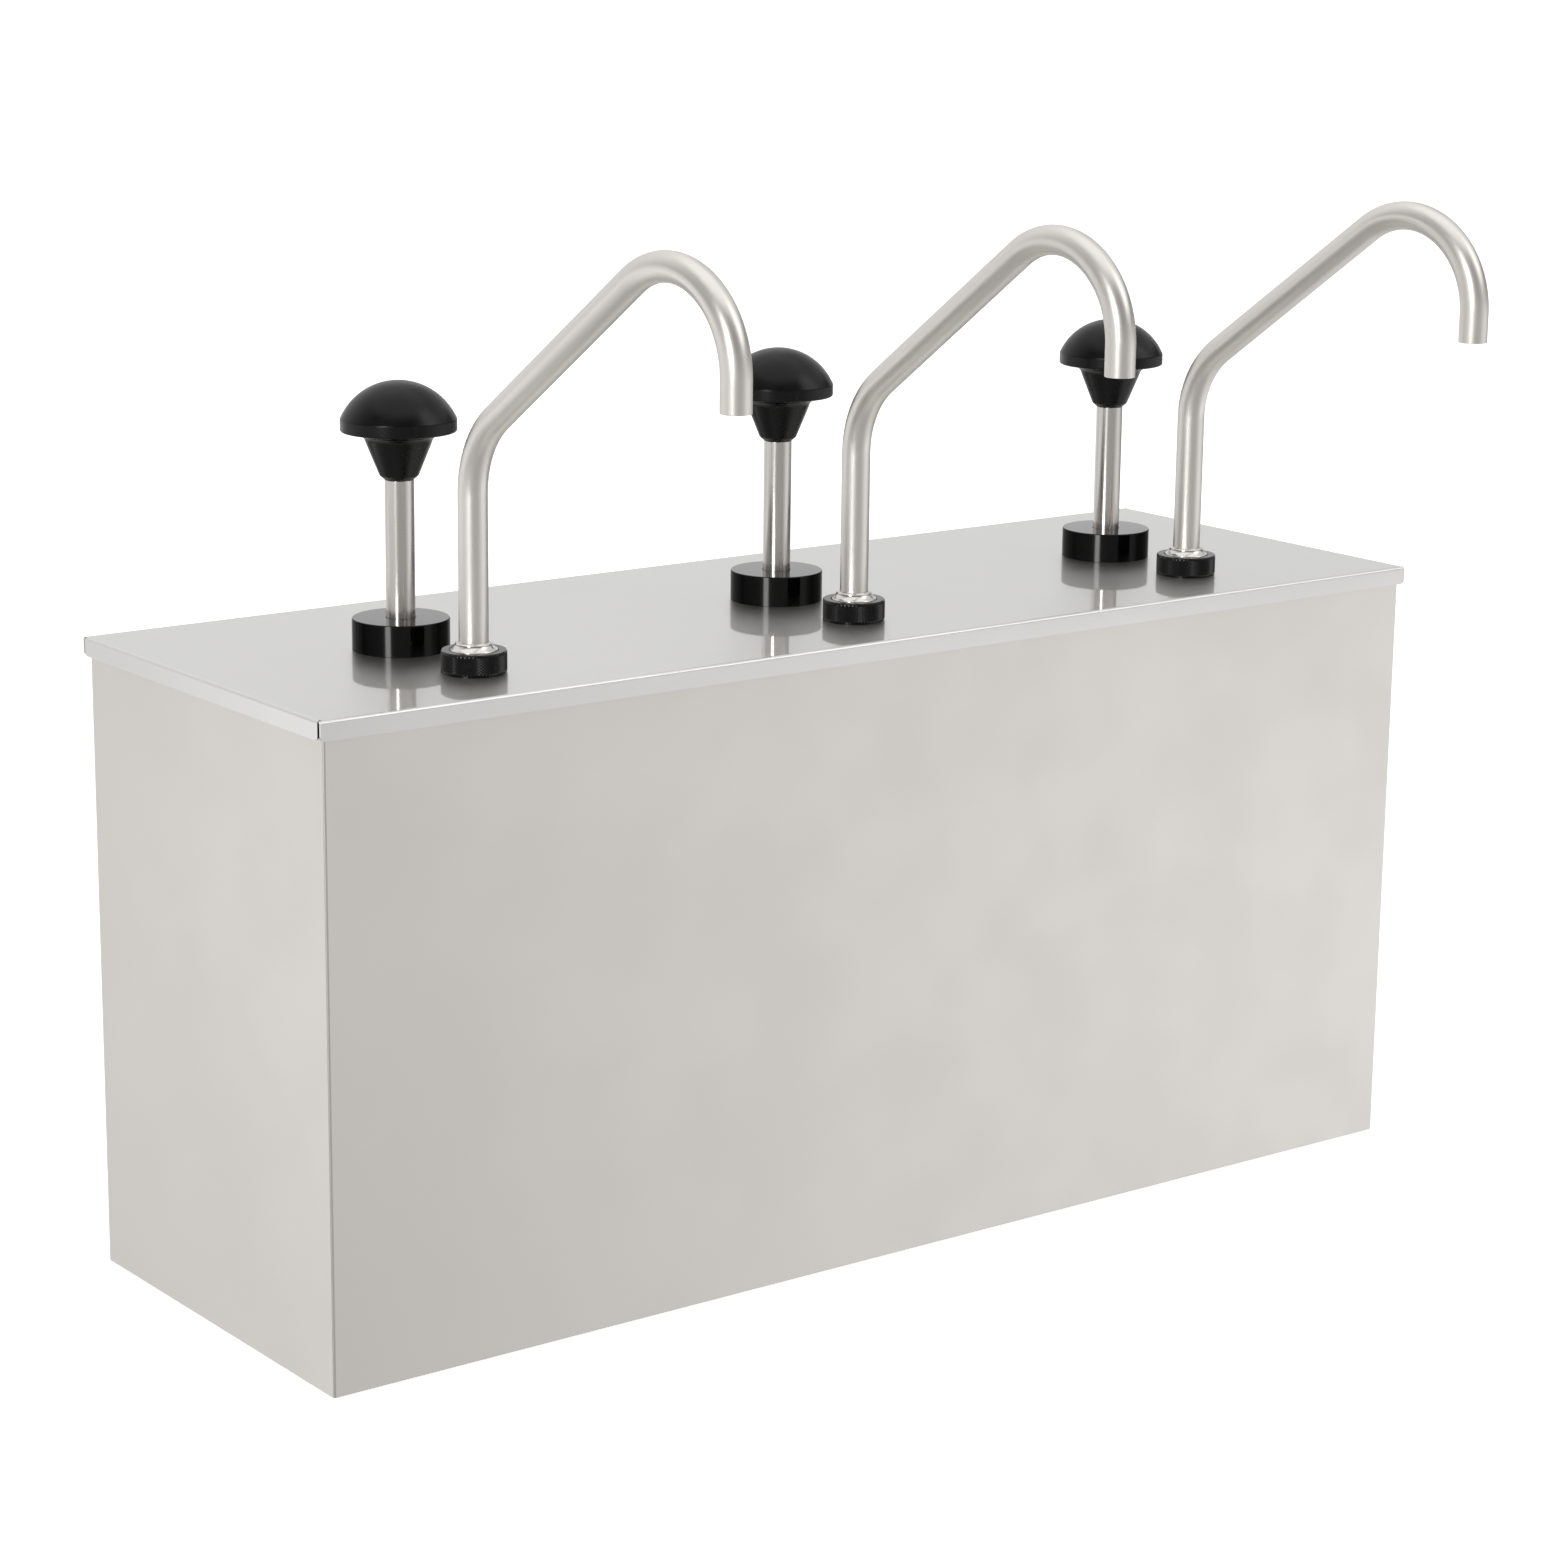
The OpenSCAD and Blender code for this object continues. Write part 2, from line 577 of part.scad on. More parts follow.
// Domed plastic knob, turned from one outline
module knob() color("#141414") {
    rim_r = knob_d / 2;
    foot_r = knob_foot_d / 2;
    foot_round = 0.8;
    rim_round = 0.8;
    band_top = knob_rim_z + knob_band_h;
    dome_z = knob_h - dome_r;
    shoulder_r = rim_r - 1.0;
    shoulder_rise = dome_z + sqrt(dome_r * dome_r - shoulder_r * shoulder_r);
    flare_r = (rim_r - knob_neck_d / 2) * 0.42;
    flare_z = knob_rim_z - rim_round - (rim_r - knob_neck_d / 2 - flare_r) * 0.33;
    outline = concat(
        [[0, 0]],
        arc(foot_r - foot_round, foot_round, foot_round, -90, -10, 5),
        [[knob_neck_d / 2, knob_neck_h]],
        [for (t = [1 : 6]) let (a = 90 * t / 6) [knob_neck_d / 2 + flare_r * (1 - cos(a)),
            knob_neck_h + (flare_z - knob_neck_h) * sin(a)]],
        arc(rim_r - rim_round, knob_rim_z, rim_round, -75, 0, 5),
        [for (t = [0 : 5]) let (a = 90 * t / 5) [rim_r - (rim_r - shoulder_r) * (1 - cos(a)) / 1,
            band_top + (shoulder_rise - band_top) * sin(a)]],
        [for (t = [1 : 14]) let (a = asin(shoulder_r / dome_r) * (1 - t / 14))
            [dome_r * sin(a), dome_z + dome_r * cos(a)]]);
    translate([0, 0, knob_z]) difference() {
        rotate_extrude() polygon(outline);
        rod_between(stud_r + fixed_fit, -1, stud_l + 1);
    }
}
module plunger_rod() color("#cbc8c3") {
    rod_between(rod_r, piston_top, knob_z);
    rod_between(stud_r, knob_z, knob_z + stud_l);
    rod_between(stud_r, spring_top, piston_top);
}
module stroke_spacer() color("#c2c0bc")
    ring_between(spacer_d / 2, rod_r + fixed_fit, piston_top, bush_z - free_gap);
module piston() color("#ddd9cf") difference() {
    rod_between(cylinder_bore / 2 - free_gap, spring_top, piston_top);
    rod_between(stud_r + fixed_fit, spring_top - 1, piston_top + 1);
    ring_between(cylinder_bore, cylinder_bore / 2 - free_gap - seal_depth,
        spring_top + (piston_h - seal_h) / 2, spring_top + (piston_h + seal_h) / 2);
}
module piston_seal() color("#2a2a2a")
    ring_between(cylinder_bore / 2 - running_fit, cylinder_bore / 2 - free_gap - seal_depth,
        spring_top + (piston_h - seal_h) / 2, spring_top + (piston_h + seal_h) / 2);

// The spout's path, drawn at one radius: foot, bend, slope, bend and outlet
module spout_path(r, extra) {
    foot_top_z = lid_top_h + spout_rise;
    second_bend_angle = 180 - first_bend_angle;
    rod_between(r, seal_top - extra, foot_top_z + bend_step);
    translate([0, 0, foot_top_z]) {
        tube_bend(r, first_bend_r, first_bend_angle);
        after_bend(first_bend_r, first_bend_angle) {
            stretch(r, slope_l + bend_step);
            translate([0, 0, slope_l]) {
                tube_bend(r, second_bend_r, second_bend_angle);
                after_bend(second_bend_r, second_bend_angle) stretch(r, outlet_l + extra);
            }
        }
    }
}
module spout() color("#cbc8c3") difference() {
    spout_path(tube_r, 0);
    spout_path(bore_r, 1);
}

// Polished ferrule, brazed to the foot of the spout and held under the nut's lip
module ferrule() color("#dddbd7") difference() {
    rotate_extrude() polygon(concat(
        [[0, seal_top], [ferrule_flange_r, seal_top], [ferrule_flange_r, lip_z - running_fit],
            [ferrule_d / 2, lip_z - running_fit], [ferrule_d / 2, nut_top]],
        [for (t = [1 : 6]) let (a = 90 * t / 6, top_r = tube_r + 1.1)
            [ferrule_d / 2 - (ferrule_d / 2 - top_r) * sin(a),
                nut_top + (ferrule_h - 0.9) * (1 - cos(a))]],
        [[tube_r + 1.1, ferrule_top - 0.3], [tube_r + 0.8, ferrule_top], [0, ferrule_top]]));
    rod_between(tube_r + running_fit, seal_top - 1, ferrule_top + 1);
}

housing_wrap();
rear_panel();
base_panel();
well_deck();
container(1);  // container_1
container(2);  // container_2
container(3);  // container_3
lid();
at_pump(1) collar();  // collar_1
at_pump(2) collar();  // collar_2
at_pump(3) collar();  // collar_3
at_pump(1) cylinder_tube();  // cylinder_1
at_pump(2) cylinder_tube();  // cylinder_2
at_pump(3) cylinder_tube();  // cylinder_3
at_pump(1) valve_body();  // valve_body_1
at_pump(2) valve_body();  // valve_body_2
at_pump(3) valve_body();  // valve_body_3
at_pump(1) riser();  // riser_1
at_pump(2) riser();  // riser_2
at_pump(3) riser();  // riser_3
for (i = pumps) at_pump(i) guide_bush();  // guide_bushes
for (i = pumps) at_pump(i) rod_wiper();  // rod_wipers
for (i = pumps) at_pump(i) cylinder_gasket();  // cylinder_gaskets
for (i = pumps) at_pump(i) valve_cage();  // valve_cages
for (i = pumps) at_spout(i) riser_gasket();  // riser_gaskets
for (i = pumps) at_spout(i) spout_seal();  // spout_seals
at_pump(1) return_spring();  // return_spring_1
at_pump(2) return_spring();  // return_spring_2
at_pump(3) return_spring();  // return_spring_3
at_pump(1) inlet_ball();  // inlet_ball_1
at_pump(2) inlet_ball();  // inlet_ball_2
at_pump(3) inlet_ball();  // inlet_ball_3
at_pump(1) outlet_ball();  // outlet_ball_1
at_pump(2) outlet_ball();  // outlet_ball_2
at_pump(3) outlet_ball();  // outlet_ball_3
at_spout(1) knurled_nut();  // knurled_nut_1
at_spout(2) knurled_nut();  // knurled_nut_2
at_spout(3) knurled_nut();  // knurled_nut_3
at_pump(1) knob();  // knob_1
at_pump(2) knob();  // knob_2
at_pump(3) knob();  // knob_3
at_pump(1) plunger_rod();  // plunger_rod_1
at_pump(2) plunger_rod();  // plunger_rod_2
at_pump(3) plunger_rod();  // plunger_rod_3
at_pump(1) stroke_spacer();  // stroke_spacer_1
at_pump(2) stroke_spacer();  // stroke_spacer_2
at_pump(3) stroke_spacer();  // stroke_spacer_3
at_pump(1) piston();  // piston_1
at_pump(2) piston();  // piston_2
at_pump(3) piston();  // piston_3
at_pump(1) piston_seal();  // piston_seal_1
at_pump(2) piston_seal();  // piston_seal_2
at_pump(3) piston_seal();  // piston_seal_3
at_spout(1) rotate([0, 0, aim(1)]) spout();  // spout_1
at_spout(2) rotate([0, 0, aim(2)]) spout();  // spout_2
at_spout(3) rotate([0, 0, aim(3)]) spout();  // spout_3
at_spout(1) ferrule();  // ferrule_1
at_spout(2) ferrule();  // ferrule_2
at_spout(3) ferrule();  // ferrule_3
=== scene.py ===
"""Looks of a three-pump sauce dispenser: folded steel housing, lid, pumps, knobs and spouts."""

import json
import math

import bmesh
import bpy
from mathutils import Matrix, Vector


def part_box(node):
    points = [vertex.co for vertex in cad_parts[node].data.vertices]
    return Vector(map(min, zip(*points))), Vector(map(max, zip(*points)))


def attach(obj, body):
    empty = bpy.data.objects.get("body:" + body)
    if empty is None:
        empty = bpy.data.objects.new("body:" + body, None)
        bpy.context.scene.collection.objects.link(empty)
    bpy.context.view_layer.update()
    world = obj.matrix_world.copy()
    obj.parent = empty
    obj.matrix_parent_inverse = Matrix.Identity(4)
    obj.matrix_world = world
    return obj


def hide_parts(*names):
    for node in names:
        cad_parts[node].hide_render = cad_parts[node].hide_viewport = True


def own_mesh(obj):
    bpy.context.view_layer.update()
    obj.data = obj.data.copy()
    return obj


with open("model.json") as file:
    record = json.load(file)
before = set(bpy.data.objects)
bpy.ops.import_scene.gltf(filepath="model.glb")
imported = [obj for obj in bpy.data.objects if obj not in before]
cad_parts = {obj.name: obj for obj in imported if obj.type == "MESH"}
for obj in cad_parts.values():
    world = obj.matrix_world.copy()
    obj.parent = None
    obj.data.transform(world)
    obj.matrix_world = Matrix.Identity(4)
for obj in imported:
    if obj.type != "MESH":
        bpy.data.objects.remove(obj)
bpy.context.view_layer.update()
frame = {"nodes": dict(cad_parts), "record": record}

# Sizes in millimetres and degrees, the same as in the part's source unless a comment says not.
# Heights are measured from the table.
MM = 0.001
PUMPS = (1, 2, 3)
PITCH = 191.0
PLUNGER_Y, SPOUT_Y = 3.0, -52.0
AIMS = (4.0, 1.5, 3.5)  # how far each spout points aside

HOUSING_W, HOUSING_D, LID_TOP = 570.0, 188.0, 272.0
SHEET = 1.0
HOUSING_RIM = LID_TOP - SHEET
BEND_R = 1.1  # tighter than the part's, so that the corner's highlight is as narrow as the real one
RETURN_W = 15.0

PAN_RIM_Z, PAN_X, PAN_Y, PAN_RIM_W, PAN_CORNER_R = 270.0, 176.0, 162.0, 10.0, 32.0
PAN_LIP, PAN_DEPTH, PAN_T, PAN_FLOOR_R = 4.0, 200.0, 0.8, 12.0
PAN_FLOOR_Z = PAN_RIM_Z - PAN_DEPTH
PAN_LEAN = PAN_DEPTH * math.tan(math.radians(3.3))

LID_X = HOUSING_W / 2 + 2 * SHEET
LID_Y = HOUSING_D / 2 + 2 * SHEET
LID_BEND_R = 1.3  # tighter than the part's, as above
SKIRT, SKIRT_CORNER_R = 8.0, 2.0
FRONT_SLOT, REAR_SLOT = 1.2, 0.05  # the part's rear corners are as open as its front ones
LID_HOLES = ((PLUNGER_Y, 15.3), (SPOUT_Y, 11.7))

COLLAR_R, COLLAR_TOP, COLLAR_TOP_T = 20.0, 285.0, 2.0
COLLAR_BORE_R, ROD_HOLE_R = 15.1, 6.2
ROD_R, ROD_END, STUD_R, STUD_L = 6.0, 199.04, 4.0, 15.0
KNOB_Z = 341.6
SPRING_R, WIRE_R, CLOSED_PITCH, SPRING_TURNS, STROKE = 11.0, 0.9, 2.4, 9, 52.0

NUT_R, NUT_TOP, KNURL_TEETH, KNURL_ROWS, KNURL_DEPTH = 13.3, 281.0, 60, 13, 0.28
TUBE_R, TUBE_BORE_R, TUBE_EDGE_R, SEAL_TOP = 6.0, 5.0, 0.18, 277.0
SPOUT_RISE, SPOUT_SLOPE, SPOUT_END = 71.0, 103.0, 12.0
FIRST_BEND_R, FIRST_BEND, SECOND_BEND_R, SECOND_BEND = 40.0, 54.0, 37.5, 126.0

TURN_STEPS = 128
TUBE_SEGMENTS, TUBE_BEND_STEP = 64, 2.0
WIRE_SEGMENTS, COIL_STEPS = 12, 24


# ---------------------------------------------------------------- camera
def place_camera():
    """Camera where the photograph was taken from."""
    right = Vector((0.7993586, -0.6007523, 0.0110659))
    down = Vector((-0.1335547, -0.1956033, -0.9715464))
    ahead = Vector((0.5858233, 0.7751361, -0.2365905))
    place = Matrix((right, -down, -ahead)).transposed().to_4x4()
    place.translation = Vector((-1010.24, -1340.22, 598.36)) * MM
    lens = bpy.data.cameras.new("photo_camera")
    lens.lens = 90.08
    lens.sensor_width = 36.0
    lens.clip_start = 0.05
    camera = bpy.data.objects.new("photo_camera", lens)
    bpy.context.scene.collection.objects.link(camera)
    camera.matrix_world = place
    bpy.context.scene.camera = camera


place_camera()


# ---------------------------------------------------------------- node helpers
def add(tree, kind, inputs=None, **settings):
    """A node with its settings, and its inputs linked to a socket or set to a value."""
    node = tree.nodes.new(kind)
    for key, value in settings.items():
        setattr(node, key, value)
    for key, value in (inputs or {}).items():
        if isinstance(value, bpy.types.NodeSocket):
            tree.links.new(value, node.inputs[key])
        else:
            node.inputs[key].default_value = value
    return node


def math_node(tree, operation, first, second=0.0):
    return add(tree, "ShaderNodeMath", {0: first, 1: second}, operation=operation).outputs[0]


def ranged(tree, value, low, high, to_low=0.0, to_high=1.0, smooth=False):
    """Value mapped from low..high to to_low..to_high, clamped."""
    kind = "SMOOTHSTEP" if smooth else "LINEAR"
    return add(tree, "ShaderNodeMapRange", {"Value": value, "From Min": low, "From Max": high,
        "To Min": to_low, "To Max": to_high}, interpolation_type=kind).outputs["Result"]


def ramp(tree, value, stops):
    """Grey or coloured ramp of (position, colour) stops."""
    node = add(tree, "ShaderNodeValToRGB", {"Fac": value})
    marks = node.color_ramp.elements
    while len(marks) < len(stops):
        marks.new(0.5)
    for mark, (position, colour) in zip(marks, stops):
        mark.position = position
        mark.color = (*colour, 1) if isinstance(colour, tuple) else (colour, colour, colour, 1)
    return node.outputs["Color"]


def tinted(tree, factor, first, second):
    """The first colour turning into the second as the factor rises."""
    return add(tree, "ShaderNodeMix", {0: factor, 6: first, 7: second}, data_type="RGBA",
        blend_type="MIX").outputs[2]


def effect(name, inputs, outputs):
    """An empty node group with named inputs and outputs; returns it and its two end nodes."""
    group = bpy.data.node_groups.new(name, "ShaderNodeTree")
    for label, kind, value in inputs:
        socket = group.interface.new_socket(label, in_out="INPUT", socket_type=kind)
        socket.default_value = value
    for label, kind in outputs:
        group.interface.new_socket(label, in_out="OUTPUT", socket_type=kind)
    return group, group.nodes.new("NodeGroupInput"), group.nodes.new("NodeGroupOutput")


def use(tree, group, inputs):
    """A group placed in a material; returns its outputs."""
    return add(tree, "ShaderNodeGroup", inputs, node_tree=group).outputs


def bare_tree(owner):
    """The emptied node tree of a material or world."""
    owner.use_nodes = True
    owner.node_tree.nodes.clear()
    return owner.node_tree


def grain_group():
    """Fine parallel scratches of a brushed sheet: Stretch sets their run, Height their relief."""
    group, source, sink = effect("brushed_grain",
        [("Vector", "NodeSocketVector", (0, 0, 0)), ("Stretch", "NodeSocketVector", (6, 6, 900)),
            ("Height", "NodeSocketFloat", 0.1)],
        [("Tone", "NodeSocketFloat"), ("Normal", "NodeSocketVector")])
    run = add(group, "ShaderNodeVectorMath", {0: source.outputs["Vector"],
        1: source.outputs["Stretch"]}, operation="MULTIPLY").outputs[0]
    fine = add(group, "ShaderNodeTexNoise", {"Vector": run, "Scale": 1.0, "Detail": 3.0,
        "Roughness": 0.6}).outputs["Fac"]
    bump = add(group, "ShaderNodeBump", {"Height": fine, "Distance": 0.0001,
        "Strength": source.outputs["Height"]})
    group.links.new(fine, sink.inputs["Tone"])
    group.links.new(bump.outputs["Normal"], sink.inputs["Normal"])
    return group


def drift_group():
    """Slow change of tone over a sheet, from the way it was rolled and wiped."""
    group, source, sink = effect("slow_drift",
        [("Vector", "NodeSocketVector", (0, 0, 0)), ("Scale", "NodeSocketFloat", 5.0)],
        [("Mask", "NodeSocketFloat"), ("Cloud", "NodeSocketFloat")])
    wide = add(group, "ShaderNodeTexNoise", {"Vector": source.outputs["Vector"],
        "Scale": source.outputs["Scale"], "Detail": 1.0, "Roughness": 0.4}).outputs["Fac"]
    fourfold = math_node(group, "MULTIPLY", source.outputs["Scale"], 4.0)
    small = add(group, "ShaderNodeTexNoise", {"Vector": source.outputs["Vector"],
        "Scale": fourfold, "Detail": 2.0, "Roughness": 0.5}).outputs["Fac"]
    group.links.new(ranged(group, wide, 0.3, 0.7, smooth=True), sink.inputs["Mask"])
    group.links.new(ranged(group, small, 0.3, 0.7, smooth=True), sink.inputs["Cloud"])
    return group


GRAIN = grain_group()
DRIFT = drift_group()


def new_material(name):
    """A material with one plain shader; returns it, its tree, the shader and its coordinates."""
    material = bpy.data.materials.new(name)
    tree = bare_tree(material)
    shader = add(tree, "ShaderNodeBsdfPrincipled")
    end = add(tree, "ShaderNodeOutputMaterial")
    tree.links.new(shader.outputs[0], end.inputs["Surface"])
    where = add(tree, "ShaderNodeTexCoord").outputs["Object"]
    return material, tree, shader, where


def coated(shader, coat):
    """A clear layer on the shader: its weight, roughness and index, or none."""
    for label, value in zip(("Coat Weight", "Coat Roughness", "Coat IOR"), coat or ()):
        shader.inputs[label].default_value = value


def steel(name, colour, dark, rough, stretch, height, clear=None):
    """Stainless steel: two near tones, changing roughness, brushed relief, and clear reflections
    over the hazy ones where the sheet is polished."""
    rough_change = 0.04
    material, tree, shader, where = new_material(name)
    grain = use(tree, GRAIN, {"Vector": where, "Stretch": stretch, "Height": height})
    drift = use(tree, DRIFT, {"Vector": where, "Scale": 5.0})
    tone = math_node(tree, "ADD", math_node(tree, "MULTIPLY", grain["Tone"], 0.5),
        math_node(tree, "MULTIPLY", drift["Mask"], 0.5))
    tree.links.new(tinted(tree, tone, (*dark, 1), (*colour, 1)), shader.inputs["Base Color"])
    change = math_node(tree, "ADD", math_node(tree, "MULTIPLY", grain["Tone"], rough_change),
        math_node(tree, "MULTIPLY", drift["Cloud"], rough_change))
    tree.links.new(math_node(tree, "ADD", change, rough - rough_change),
        shader.inputs["Roughness"])
    tree.links.new(grain["Normal"], shader.inputs["Normal"])
    shader.inputs["Metallic"].default_value = 1.0
    coated(shader, clear)
    return material


def moulded(name, colour, dark, rough, relief_scale, relief, specular=0.5, coat=None,
        deep_sides=False):
    """Plastic or rubber: two near tones, a little relief and changing gloss, and a clear layer
    where it is glossy."""
    rough_change = 0.03
    material, tree, shader, where = new_material(name)
    drift = use(tree, DRIFT, {"Vector": where, "Scale": 60.0})
    fine = add(tree, "ShaderNodeTexNoise", {"Vector": where, "Scale": relief_scale,
        "Detail": 2.0}).outputs["Fac"]
    tree.links.new(tinted(tree, drift["Mask"], (*dark, 1), (*colour, 1)),
        shader.inputs["Base Color"])
    tree.links.new(ranged(tree, drift["Cloud"], 0.0, 1.0, rough - rough_change,
        rough + rough_change), shader.inputs["Roughness"])
    bump = add(tree, "ShaderNodeBump", {"Height": fine, "Distance": 0.0001, "Strength": relief})
    tree.links.new(bump.outputs["Normal"], shader.inputs["Normal"])
    shader.inputs["Specular IOR Level"].default_value = specular
    coated(shader, coat)
    if deep_sides:
        # upright walls lose their shine where they curve away from the eye
        facing = add(tree, "ShaderNodeLayerWeight").outputs["Facing"]
        upright = math_node(tree, "ABSOLUTE", add(tree, "ShaderNodeSeparateXYZ",
            {0: add(tree, "ShaderNodeNewGeometry").outputs["Normal"]}).outputs["Z"])
        shine = math_node(tree, "MAXIMUM", ranged(tree, facing, 0.02, 0.35, 1.0, 0.15),
            ranged(tree, upright, 0.5, 0.9, 0.0, 1.0))
        tree.links.new(math_node(tree, "MULTIPLY", shine, coat[0]), shader.inputs["Coat Weight"])
        tree.links.new(math_node(tree, "MULTIPLY", shine, specular),
            shader.inputs["Specular IOR Level"])
    return material


MATERIALS = {
    "brushed_stainless": steel("brushed_stainless", (0.69, 0.665, 0.633), (0.67, 0.645, 0.613),
        0.33, (6, 6, 2500), 0.05),
    "plain_stainless": steel("plain_stainless", (0.64, 0.63, 0.61), (0.58, 0.57, 0.55), 0.30,
        (200, 200, 200), 0.05),
    "lid_stainless": steel("lid_stainless", (0.69, 0.682, 0.66), (0.67, 0.662, 0.64), 0.38,
        (5, 2500, 2500), 0.03, clear=(1.0, 0.04, 2.0)),
    "tube_stainless": steel("tube_stainless", (0.77, 0.745, 0.705), (0.74, 0.715, 0.675), 0.39,
        (500, 500, 30), 0.04),
    # the rods' copy of the tube steel, made darker: painted shade, as the rods show darker than the
    # spouts
    "rod_stainless_painted_shade": steel("rod_stainless_painted_shade", (0.60, 0.575, 0.545), (0.57, 0.545, 0.515), 0.20,
        (30, 30, 1500), 0.03),
    "polished_steel": steel("polished_steel", (0.72, 0.70, 0.67), (0.68, 0.66, 0.63), 0.18,
        (300, 300, 300), 0.03),
    "black_gloss": moulded("black_gloss", (0.001, 0.001, 0.001), (0.0006, 0.0006, 0.0006), 0.08,
        300.0, 0.01, specular=0.10, coat=(0.85, 0.04, 1.38), deep_sides=True),
    "black_nut": moulded("black_nut", (0.002, 0.002, 0.0022), (0.0015, 0.0015, 0.0017), 0.17,
        2500.0, 0.05, specular=0.15, coat=(0.35, 0.08, 1.5)),
    "black_satin": moulded("black_satin", (0.0012, 0.0012, 0.0014), (0.0008, 0.0008, 0.001), 0.27,
        2500.0, 0.1, specular=0.24),
    # near-black steel: painted shade, put on the flange ends in the lid's front slots to stand for
    # the dark gap there
    "painted_slot_shade": steel("painted_slot_shade", (0.04, 0.038, 0.036), (0.02, 0.019, 0.018), 0.5,
        (900, 900, 900), 0.1),
    "white_plastic": moulded("white_plastic", (0.78, 0.77, 0.73), (0.74, 0.73, 0.69), 0.4,
        1500.0, 0.1),
    "black_rubber": moulded("black_rubber", (0.02, 0.02, 0.02), (0.015, 0.015, 0.015), 0.6,
        2500.0, 0.3, specular=0.3),
}


# ---------------------------------------------------------------- piece helpers
def finish_piece(name, bm, body, slot, node, sharp=32.0, material=None):
    """The bmesh, drawn in millimetres, becomes a piece that rides on a body and stands for a
    CAD node; edges sharper than so many degrees stay crisp."""
    bmesh.ops.scale(bm, vec=(MM, MM, MM), verts=bm.verts)
    mesh = bpy.data.meshes.new(name)
    bm.to_mesh(mesh)
    bm.free()
    mesh.shade_smooth()
    mesh.set_sharp_from_angle(angle=math.radians(sharp))
    mesh.materials.append(MATERIALS[material or slot])
    piece = bpy.data.objects.new(name, mesh)
    bpy.context.scene.collection.objects.link(piece)
    even = piece.modifiers.new("even_normals", "WEIGHTED_NORMAL")
    even.keep_sharp = True
    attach(piece, body)
    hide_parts(node)
    return piece


def verts_of(geom):
    return [g for g in geom if isinstance(g, bmesh.types.BMVert)]


def edges_of(geom):
    return [g for g in geom if isinstance(g, bmesh.types.BMEdge)]


def open_edges(geom):
    """The edges that only one face uses, where a wall can go on."""
    return [e for e in edges_of(geom) if len(e.link_faces) == 1]


def circle(bm, radius, segments, place):
    """A ring of vertices and its edges, both in their order."""
    verts = bmesh.ops.create_circle(bm, segments=segments, radius=radius, matrix=place)["verts"]
    return verts, list(dict.fromkeys(e for v in verts for e in v.link_edges))


def rounding(bm, geom, size, segments=3, affect="VERTICES"):
    """Rounds the corners of a line, or the edges of a wall."""
    bmesh.ops.bevel(bm, geom=geom, offset=size, offset_type="OFFSET", segments=segments,
        profile=0.5, affect=affect, material=-1)


def outline(bm, points, closed):
    """A line of (radius, height) points in the XZ plane; a third number rounds that corner."""
    corners = [bm.verts.new((p[0], 0, p[1])) for p in points]
    pairs = list(zip(corners, corners[1:]))
    if closed:
        pairs.append((corners[-1], corners[0]))
    for pair in pairs:
        bm.edges.new(pair)
    rounds = {}
    for corner, point in zip(corners, points):
        if len(point) > 2:
            rounds.setdefault(point[2], []).append(corner)
    for size, group in rounds.items():
        rounding(bm, group, size)


def turn(bm):
    """What is drawn goes once round the Z axis."""
    bmesh.ops.spin(bm, geom=bm.verts[:] + bm.edges[:], cent=(0, 0, 0), axis=(0, 0, 1),
        angle=math.tau, steps=TURN_STEPS, use_merge=True)
    bmesh.ops.remove_doubles(bm, verts=bm.verts, dist=0.0005)
    bmesh.ops.recalc_face_normals(bm, faces=bm.faces)


def move(bm, x, y, z=0.0):
    bmesh.ops.translate(bm, vec=(x, y, z), verts=bm.verts)


def pump_x(i):
    """Where pump 1, 2 or 3 stands along the row."""
    return (i - 2) * PITCH


def turned(points, closed=True):
    """A piece turned from its outline."""
    bm = bmesh.new()
    outline(bm, points, closed)
    turn(bm)
    return bm


# ---------------------------------------------------------------- housing
def housing_shell():
    """Front and sides, folded from one sheet, with a narrow return at each rear corner."""
    bm = bmesh.new()
    half_w, half_d = HOUSING_W / 2, HOUSING_D / 2
    plan = [(-half_w + RETURN_W, half_d), (-half_w, half_d), (-half_w, -half_d),
        (half_w, -half_d), (half_w, half_d), (half_w - RETURN_W, half_d)]
    corners = [bm.verts.new((x, y, 0)) for x, y in plan]
    for pair in zip(corners, corners[1:]):
        bm.edges.new(pair)
    rounding(bm, corners[1:5], BEND_R, 8)
    rise = bmesh.ops.extrude_edge_only(bm, edges=bm.edges[:])["geom"]
    bmesh.ops.translate(bm, vec=(0, 0, HOUSING_RIM), verts=verts_of(rise))
    bmesh.ops.recalc_face_normals(bm, faces=bm.faces)
    front = min(bm.faces, key=lambda f: f.calc_center_median().y)
    if front.normal.y > 0:
        bmesh.ops.reverse_faces(bm, faces=bm.faces)
    bmesh.ops.solidify(bm, geom=bm.faces[:], thickness=SHEET)
    bmesh.ops.recalc_face_normals(bm, faces=bm.faces)
    return bm


finish_piece("housing_shell", housing_shell(), "housing", "brushed_stainless", "housing_wrap")


# ---------------------------------------------------------------- containers
def round_loop(bm, half_x, half_y, corner_r, z):
    """One level of a round-cornered pan: its edges, all levels with as many points."""
    corners = [bm.verts.new((sx * half_x, sy * half_y, z))
        for sx, sy in ((1, 1), (-1, 1), (-1, -1), (1, -1))]
    before = set(bm.edges)
    for pair in zip(corners, corners[1:] + corners[:1]):
        bm.edges.new(pair)
    rounding(bm, corners, corner_r, 10)
    return [e for e in bm.edges if e not in before]


